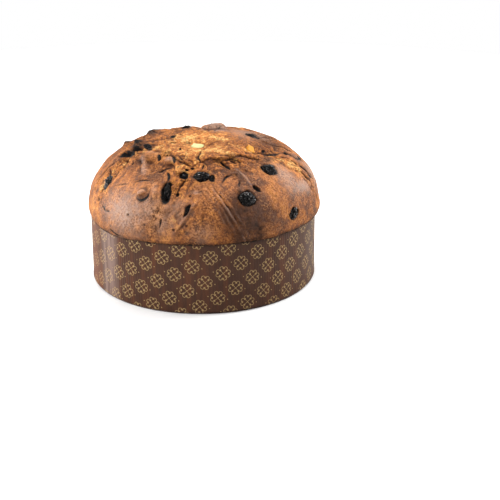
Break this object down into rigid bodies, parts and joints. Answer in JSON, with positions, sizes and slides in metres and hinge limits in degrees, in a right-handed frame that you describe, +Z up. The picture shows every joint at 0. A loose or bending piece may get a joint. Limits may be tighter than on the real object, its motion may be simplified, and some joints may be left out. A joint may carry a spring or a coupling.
{
  "type": "panettone",
  "caption": "Whole low panettone, a domed sweet loaf with raisins and candied peel at its torn crust, standing in its round paper baking mould.",
  "frame": {"origin": "centre of the mould's underside, on the surface that it stands on", "axes": "+Z up through the crown of the loaf, -Y to the side that the loaf is seen from, +X to its right"},
  "size_m": [0.216, 0.216, 0.1344],
  "materials": {
    "crust": "glossy baked crust, chestnut brown, golden where it tore",
    "mould_paper": null,
    "raisin": "wrinkled, dark and a little glossy",
    "citron_peel": "translucent sugared peel, pale green",
    "lemon_peel": "translucent sugared peel, amber yellow",
    "orange_peel": "translucent sugared peel, orange"
  },
  "bodies": {
    "root": {"loaf": "crust", "mould_wall": "mould_paper", "mould_base": "mould_paper", "raisin_1": "raisin", "raisin_2": "raisin", "raisin_3": "raisin", "raisin_4": "raisin", "raisin_5": "raisin", "raisin_6": "raisin", "raisin_7": "raisin", "raisin_8": "raisin", "raisin_9": "raisin", "raisin_10": "raisin", "raisin_11": "raisin", "raisin_12": "raisin", "raisin_13": "raisin", "raisin_14": "raisin", "raisin_15": "raisin", "raisin_16": "raisin", "raisin_17": "raisin", "raisin_18": "raisin", "raisin_19": "raisin", "citron_peel_1": "citron_peel", "citron_peel_2": "citron_peel", "lemon_peel_1": "lemon_peel", "orange_peel_1": "orange_peel"}
  },
  "joints": []
}
